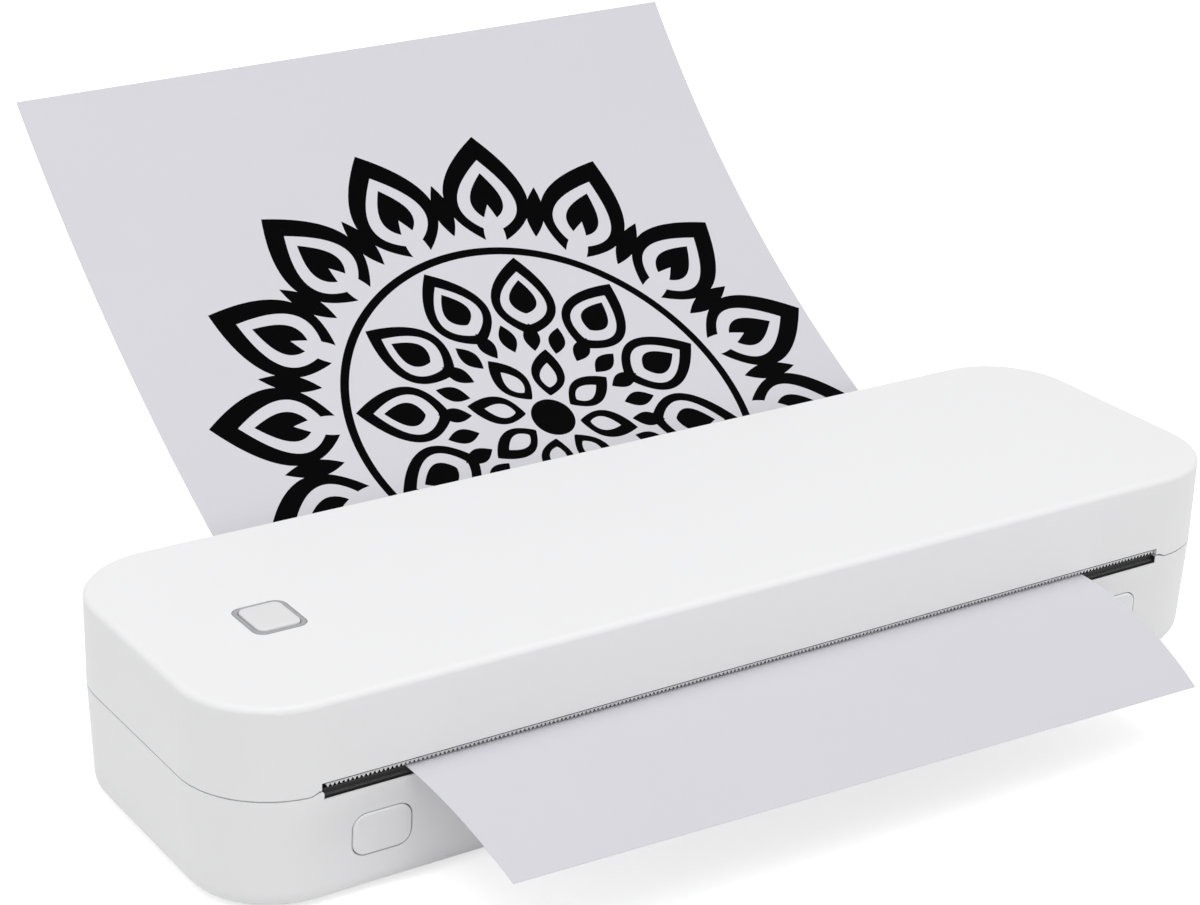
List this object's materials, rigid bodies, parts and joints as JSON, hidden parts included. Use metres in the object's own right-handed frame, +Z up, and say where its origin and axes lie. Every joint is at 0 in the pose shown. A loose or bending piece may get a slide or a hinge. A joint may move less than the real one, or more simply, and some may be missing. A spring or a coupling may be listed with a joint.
{
  "type": "portable thermal printer",
  "caption": "Slim portable thermal printer with a hinged top cover, a front slot with a toothed tear edge, and a curved printed sheet passing through it.",
  "frame": {"origin": "on the plane that the rubber feet stand on, under the middle of the housing, 1 mm below the middle of its underside", "axes": "+X along the paper's width to the right as seen from the front, +Y towards the rear inlet where the sheet goes in, +Z up; the sheet comes out at -Y"},
  "size_m": [0.31, 0.2651, 0.1427],
  "materials": {
    "white_plastic": "smooth satin white moulding",
    "white_gloss": "smooth white button cap",
    "ring_plastic": "translucent light ring, switched off",
    "black_plastic": "fine grained black",
    "grey_plastic": "dark grey inner moulding",
    "rubber": "matt rubber",
    "paper": "coated A4 thermal paper, printed on one side",
    "steel": "bright rolled steel",
    "zinc_screw": "zinc plated",
    "spring_steel": "drawn wire",
    "aluminium": "extruded, natural",
    "ceramic": "glazed ceramic substrate",
    "acetal": "natural acetal",
    "board": "green solder mask",
    "component": "moulded packages",
    "cell_wrap": "shrink sleeve",
    "cable": "soft sleeve",
    "ribbon": "flat flexible cable",
    "motor_case": "drawn steel can"
  },
  "bodies": {
    "base": {"base_shell": "white_plastic", "exit_guide": "black_plastic", "paper_deck": "grey_plastic", "paper_sensor": "component", "end_tray_left": "grey_plastic", "end_tray_right": "grey_plastic", "rubber_feet": "rubber", "base_screws": "zinc_screw", "tray_screws": "zinc_screw", "idler_pin": "steel", "motor_can": "motor_case", "motor_screws": "zinc_screw", "side_frame_left": "steel", "side_frame_right": "steel", "frame_screws": "zinc_screw", "platen_bushes": "acetal", "main_board": "board", "board_components": "component", "board_screws": "zinc_screw", "usb_socket": "steel", "battery_holder": "grey_plastic", "battery_cells": "cell_wrap", "battery_lead": "cable", "motor_lead": "cable", "cover_switch": "component", "hinge_pins": "steel", "paper_sheet": "paper", "main_ribbon": "ribbon", "latch_spring_left": "spring_steel", "latch_spring_right": "spring_steel"},
    "cover": {"cover_shell": "white_plastic", "tear_bar": "white_plastic", "paper_liner": "grey_plastic", "head_bracket": "steel", "head_pins": "steel", "bracket_screws": "zinc_screw", "cover_catch_left": "acetal", "cover_catch_right": "acetal", "power_ring": "ring_plastic", "button_board": "board", "power_switch": "component", "button_board_screws": "zinc_screw", "head_springs": "spring_steel", "head_ribbon": "ribbon"},
    "head": {"head_heatsink": "aluminium", "head_ceramic": "ceramic", "head_board": "board"},
    "power_button": {"power_button": "white_gloss"},
    "platen": {"platen_sleeve": "rubber", "platen_shaft": "steel", "platen_gear": "acetal"},
    "idler": {"idler_gear": "acetal"},
    "motor_rotor": {"motor_shaft": "steel", "motor_pinion": "acetal"},
    "release_left": {"release_button_left": "white_plastic", "latch_slide_left": "acetal"},
    "release_right": {"release_button_right": "white_plastic", "latch_slide_right": "acetal"}
  },
  "joints": [
    {"name": "cover_hinge", "type": "hinge", "parent": "base", "child": "cover", "pos_m": [0, 0.0452, 0.0503], "axis": [-1, 0, 0], "range_deg": [0, 70], "deforming": ["main_ribbon"]},
    {"name": "head_lift", "type": "slide", "parent": "cover", "child": "head", "axis": [0, 0, 1], "range_m": [0, 0.0012], "stiffness_N_per_m": 2500, "springref_m": -0.004, "deforming": ["head_springs", "head_ribbon"]},
    {"name": "power_press", "type": "slide", "parent": "cover", "child": "power_button", "axis": [0, 0, -1], "range_m": [0, 0.0005], "stiffness_N_per_m": 600, "springref_m": -0.001},
    {"name": "platen_spin", "type": "hinge", "parent": "base", "child": "platen", "pos_m": [0, -0.03, 0.02502], "axis": [1, 0, 0], "continuous": true},
    {"name": "idler_spin", "type": "hinge", "parent": "base", "child": "idler", "pos_m": [0.1163, -0.0155, 0.01436], "axis": [1, 0, 0], "continuous": true},
    {"name": "motor_spin", "type": "hinge", "parent": "base", "child": "motor_rotor", "pos_m": [0.1163, -0.00256, 0.01556], "axis": [1, 0, 0], "continuous": true},
    {"name": "release_left_press", "type": "slide", "parent": "base", "child": "release_left", "axis": [0, 1, 0], "range_m": [0, 0.002], "stiffness_N_per_m": 400, "springref_m": -0.002, "deforming": ["latch_spring_left"]},
    {"name": "release_right_press", "type": "slide", "parent": "base", "child": "release_right", "axis": [0, 1, 0], "range_m": [0, 0.002], "stiffness_N_per_m": 400, "springref_m": -0.002, "deforming": ["latch_spring_right"]}
  ],
  "couplings": [
    {"joint": "idler_spin", "follows": "platen_spin", "ratio": -0.8},
    {"joint": "motor_spin", "follows": "platen_spin", "ratio": 2.6667}
  ]
}
